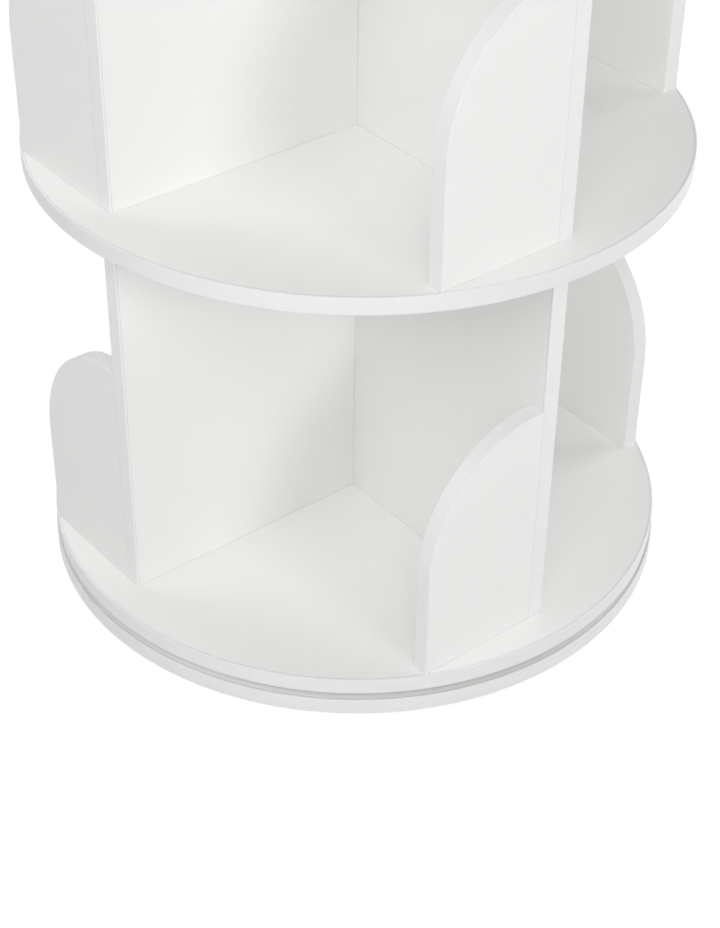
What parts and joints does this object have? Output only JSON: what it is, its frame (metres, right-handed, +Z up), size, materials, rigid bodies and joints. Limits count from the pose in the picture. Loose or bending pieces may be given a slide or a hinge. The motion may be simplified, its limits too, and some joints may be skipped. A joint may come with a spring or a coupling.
{
  "type": "revolving desktop bookcase",
  "caption": "Round revolving bookcase of white board: open tiers between discs, crossed dividers, each ending in a curved book stop, turning on a ball-race turntable over a round base.",
  "frame": {"origin": "on the floor under the middle of the round base, on the axis that the carousel turns about", "axes": "+Z up along the turning axis; +X along the right arm of the crossed dividers and -Y along the front arm, whose book stops face the viewer"},
  "size_m": [0.4619, 0.462, 0.6546],
  "materials": {
    "white_board": "white melamine-faced particle board, satin",
    "white_edge_strip": "white edge strip, semi-gloss",
    "black_glide_plastic": "moulded, matt",
    "plated_steel": "bright zinc plated",
    "washer_plastic": "natural nylon",
    "bearing_steel": "polished, oiled",
    "cage_plastic": "moulded, matt",
    "beech": "bare fluted beech",
    "cast_zinc": "die-cast zinc, as cast"
  },
  "bodies": {
    "base": {"base_disc": "white_board", "base_edge_band": "white_edge_strip", "foot_glides": "black_glide_plastic", "foot_screws": "plated_steel", "turntable_lower_plate": "plated_steel", "turntable_base_screws": "plated_steel", "turntable_rivet": "plated_steel", "rivet_washer": "washer_plastic"},
    "ball_ring": {"bearing_balls": "bearing_steel", "ball_cage": "cage_plastic"},
    "carousel": {"bottom_shelf": "white_board", "middle_shelf": "white_board", "top_board": "white_board", "bottom_shelf_edge_band": "white_edge_strip", "middle_shelf_edge_band": "white_edge_strip", "top_board_edge_band": "white_edge_strip", "turntable_upper_plate": "plated_steel", "turntable_shelf_screws": "plated_steel", "lower_long_divider": "white_board", "lower_front_divider": "white_board", "lower_back_divider": "white_board", "lower_right_stop": "white_board", "lower_back_stop": "white_board", "lower_left_stop": "white_board", "lower_front_stop": "white_board", "lower_divider_edge_bands": "white_edge_strip", "lower_stop_edge_bands": "white_edge_strip", "lower_divider_screws": "plated_steel", "lower_stop_screws": "plated_steel", "lower_cam_bolts": "plated_steel", "lower_edge_dowels": "beech", "lower_centre_dowels": "beech", "lower_stop_dowels": "beech", "lower_cam_locks": "cast_zinc", "upper_long_divider": "white_board", "upper_front_divider": "white_board", "upper_back_divider": "white_board", "upper_right_stop": "white_board", "upper_back_stop": "white_board", "upper_left_stop": "white_board", "upper_front_stop": "white_board", "upper_divider_edge_bands": "white_edge_strip", "upper_stop_edge_bands": "white_edge_strip", "upper_divider_screws": "plated_steel", "upper_stop_screws": "plated_steel", "upper_cam_bolts": "plated_steel", "upper_edge_dowels": "beech", "upper_centre_dowels": "beech", "upper_stop_dowels": "beech", "upper_cam_locks": "cast_zinc"}
  },
  "joints": [
    {"name": "carousel_spin", "type": "hinge", "parent": "base", "child": "carousel", "pos_m": [0, 0, 0.0241], "axis": [0, 0, 1], "continuous": true},
    {"name": "ball_ring_spin", "type": "hinge", "parent": "base", "child": "ball_ring", "pos_m": [0, 0, 0.0213], "axis": [0, 0, 1], "continuous": true}
  ],
  "couplings": [
    {"joint": "ball_ring_spin", "follows": "carousel_spin", "ratio": 0.5}
  ]
}
